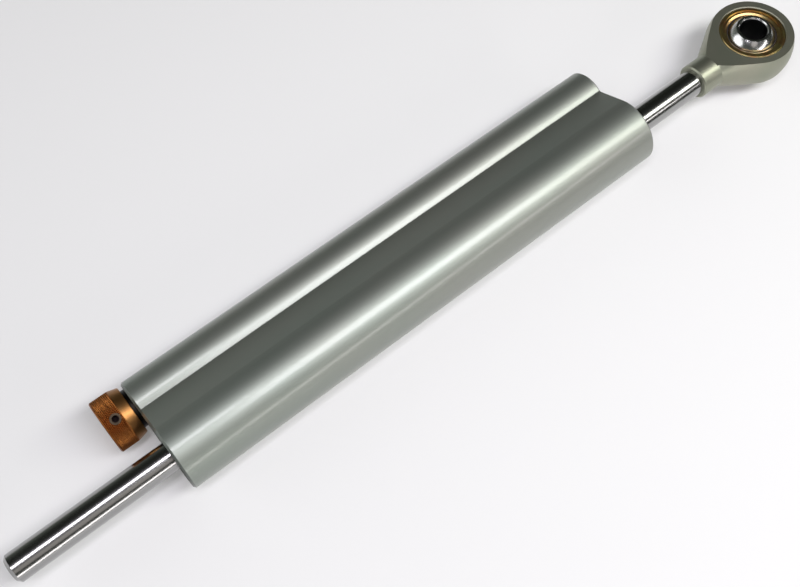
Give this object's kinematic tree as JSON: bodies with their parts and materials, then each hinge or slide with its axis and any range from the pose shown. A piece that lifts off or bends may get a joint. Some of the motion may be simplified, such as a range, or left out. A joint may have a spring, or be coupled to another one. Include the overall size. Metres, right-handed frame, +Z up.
{
  "type": "motorcycle steering damper",
  "caption": "Linear hydraulic steering damper: twin tube body, rod through both ends, click adjuster knob and a spherical bearing eye.",
  "frame": {"origin": "on the rod's axis, midway along the body, where its clamp grips the main tube", "axes": "+X along the rod towards the eye, +Y towards the adjuster's tube, +Z up as the damper lies on its main tube and knob"},
  "size_m": [0.2701, 0.038, 0.0204],
  "materials": {
    "body_aluminium": "satin bead-blasted and clear anodised, fine grain along the tubes",
    "head_aluminium": "dark anodised, turned",
    "rod_chrome": "ground and hard chromed",
    "ball_chrome": "polished and chromed",
    "eye_aluminium": "satin clear anodised, turned and milled",
    "race_bronze": "turned bronze, lightly polished",
    "liner_polymer": "woven low-friction liner",
    "knob_anodised": "bronze-gold anodised, knurled",
    "steel_small": "bright steel",
    "spring_steel": "phosphated spring steel",
    "seal_rubber": "smooth nitrile rubber",
    "bump_urethane": "cast polyurethane",
    "band_ptfe": "bronze-filled PTFE",
    "needle_brass": "turned brass"
  },
  "bodies": {
    "cylinder": {"cylinder_body": "body_aluminium", "seal_head_left": "head_aluminium", "seal_head_right": "head_aluminium", "rod_wiper_left": "seal_rubber", "rod_wiper_right": "seal_rubber", "rod_seal_left": "seal_rubber", "rod_seal_right": "seal_rubber", "rod_bush_left": "band_ptfe", "rod_bush_right": "band_ptfe", "head_ring_left": "seal_rubber", "head_ring_right": "seal_rubber", "head_circlip_left": "spring_steel", "head_circlip_right": "spring_steel", "bump_stop_left": "bump_urethane", "bump_stop_right": "bump_urethane", "adjuster_housing": "head_aluminium", "housing_ring": "seal_rubber", "spindle_clip": "spring_steel", "valve_seat": "needle_brass", "seat_ring": "seal_rubber", "end_plug": "head_aluminium", "plug_ring": "seal_rubber", "plug_circlip": "spring_steel", "detent_spring": "spring_steel", "compensator_spring": "spring_steel"},
    "band": {"piston_band": "band_ptfe"},
    "rod": {"piston_rod": "rod_chrome", "piston": "head_aluminium", "piston_ring": "seal_rubber", "piston_clips": "spring_steel", "rod_eye": "eye_aluminium", "bearing_race": "race_bronze"},
    "liner": {"bearing_liner": "liner_polymer"},
    "ball": {"bearing_ball": "ball_chrome"},
    "knob": {"adjuster_knob": "knob_anodised", "adjuster_spindle": "steel_small", "knob_grub_screw": "steel_small", "spindle_ring": "seal_rubber"},
    "needle": {"adjuster_needle": "needle_brass"},
    "detent": {"detent_ball": "steel_small"},
    "compensator": {"compensator_piston": "head_aluminium", "compensator_ring": "seal_rubber"}
  },
  "joints": [
    {"name": "rod_slide", "type": "slide", "parent": "cylinder", "child": "band", "axis": [1, 0, 0], "range_m": [-0.0259, 0.0421]},
    {"name": "rod_spin", "type": "hinge", "parent": "band", "child": "rod", "pos_m": [0, 0, 0], "axis": [1, 0, 0], "continuous": true},
    {"name": "ball_tilt", "type": "hinge", "parent": "rod", "child": "liner", "pos_m": [0.1311, 0, 0], "axis": [0, 0.9932, -0.1167], "range_deg": [-8, 8]},
    {"name": "ball_spin", "type": "hinge", "parent": "liner", "child": "ball", "pos_m": [0.1311, 0, 0], "axis": [0, 0.1167, 0.9932], "continuous": true},
    {"name": "knob_turn", "type": "hinge", "parent": "cylinder", "child": "knob", "pos_m": [-0.085, 0.0172, -0.00265], "axis": [1, 0, 0], "range_deg": [-360, 360]},
    {"name": "needle_slide", "type": "slide", "parent": "cylinder", "child": "needle", "axis": [1, 0, 0], "range_m": [-0.0007, 0.0007]},
    {"name": "detent_click", "type": "slide", "parent": "cylinder", "child": "detent", "axis": [1, 0, 0], "range_m": [0, 0.0003], "stiffness_N_per_m": 200, "springref_m": -0.001},
    {"name": "compensator_slide", "type": "slide", "parent": "cylinder", "child": "compensator", "axis": [1, 0, 0], "range_m": [-0.003, 0.003], "stiffness_N_per_m": 1500, "deforming": ["compensator_spring"]}
  ],
  "couplings": [
    {"joint": "knob_turn", "follows": "needle_slide", "rad_per_m": 8976}
  ]
}
